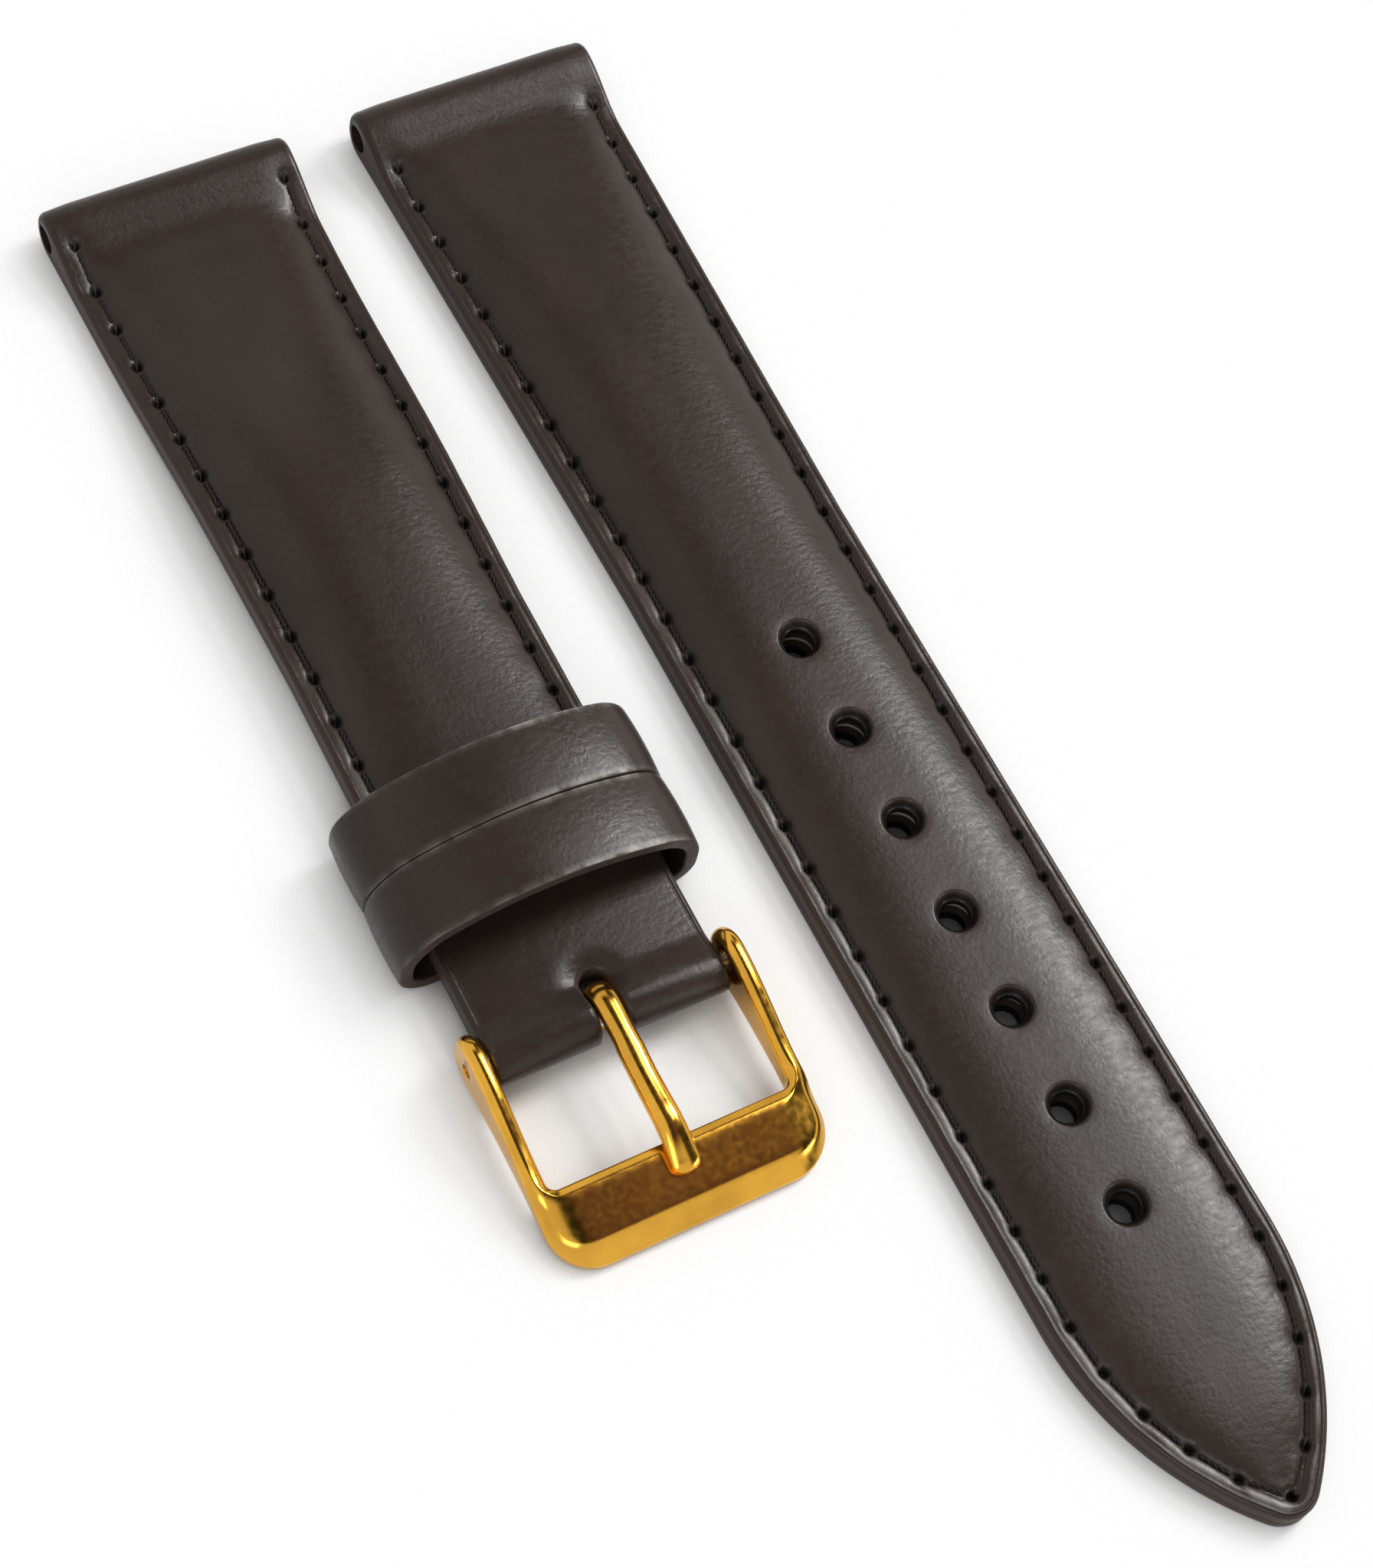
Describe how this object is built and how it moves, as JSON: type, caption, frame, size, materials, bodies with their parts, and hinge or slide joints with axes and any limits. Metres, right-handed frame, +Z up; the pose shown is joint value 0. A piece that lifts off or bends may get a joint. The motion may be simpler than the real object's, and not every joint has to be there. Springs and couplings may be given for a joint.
{
  "type": "leather watch strap",
  "caption": "Two-part padded leather watch strap with stitched edges, pointed punched tail, two leather keepers and a polished tongue buckle on a spring bar.",
  "frame": {"origin": "middle of the strap's footprint, on the surface it lies on", "axes": "+X across the strap towards the long part, +Y along it towards the watch, +Z up from the surface to the outer side of the leather"},
  "size_m": [0.042, 0.113, 0.0083],
  "materials": {
    "outer_leather": "smooth semi-gloss dark brown calf leather with painted edges",
    "lining_leather": "matte fine-grained lining leather",
    "padding": "bonded leather board, skived",
    "stiffener": "non-stretch woven tape",
    "thread": "waxed dark brown thread",
    "gold_plate": "polished yellow gold plating",
    "bar_steel": "turned stainless steel"
  },
  "bodies": {
    "short_part": {"short_upper_leather": "outer_leather", "short_padding": "padding", "short_stiffener": "stiffener", "short_lining": "lining_leather", "short_needle_thread_left": "thread", "short_needle_thread_right": "thread", "short_bobbin_thread_left": "thread", "short_bobbin_thread_right": "thread", "fixed_keeper": "outer_leather", "fixed_keeper_thread": "thread", "spring_bar_tube": "bar_steel", "spring_bar_spring": "bar_steel"},
    "long_part": {"long_upper_leather": "outer_leather", "long_padding": "padding", "long_stiffener": "stiffener", "long_lining": "lining_leather", "long_needle_thread": "thread", "long_bobbin_thread": "thread"},
    "free_keeper": {"free_keeper": "outer_leather", "free_keeper_thread": "thread"},
    "buckle_frame": {"buckle_frame": "gold_plate"},
    "buckle_tongue": {"buckle_tongue": "gold_plate"},
    "bar_tip_left": {"spring_bar_tip_left": "bar_steel"},
    "bar_tip_right": {"spring_bar_tip_right": "bar_steel"}
  },
  "joints": [
    {"name": "buckle_frame_hinge", "type": "hinge", "parent": "short_part", "child": "buckle_frame", "pos_m": [-0.011, -0.0118, 0.0026], "axis": [-1, 0, 0], "range_deg": [-90, 45]},
    {"name": "buckle_tongue_hinge", "type": "hinge", "parent": "buckle_frame", "child": "buckle_tongue", "pos_m": [-0.011, -0.0118, 0.0026], "axis": [-1, 0, 0], "range_deg": [0, 75]},
    {"name": "free_keeper_slide", "type": "slide", "parent": "short_part", "child": "free_keeper", "axis": [0, 1, 0], "range_m": [0, 0.02]},
    {"name": "bar_tip_left_slide", "type": "slide", "parent": "short_part", "child": "bar_tip_left", "axis": [1, 0, 0], "range_m": [0, 0.0011], "stiffness_N_per_m": 600, "springref_m": -0.0008, "deforming": ["spring_bar_spring"]},
    {"name": "bar_tip_right_slide", "type": "slide", "parent": "short_part", "child": "bar_tip_right", "axis": [-1, 0, 0], "range_m": [0, 0.0011], "stiffness_N_per_m": 600, "springref_m": -0.0008, "deforming": ["spring_bar_spring"]},
    {"name": "long_part_slide", "type": "slide", "parent": "short_part", "child": "long_part", "axis": [1, 0, 0], "range_m": [0, 0.04]}
  ]
}
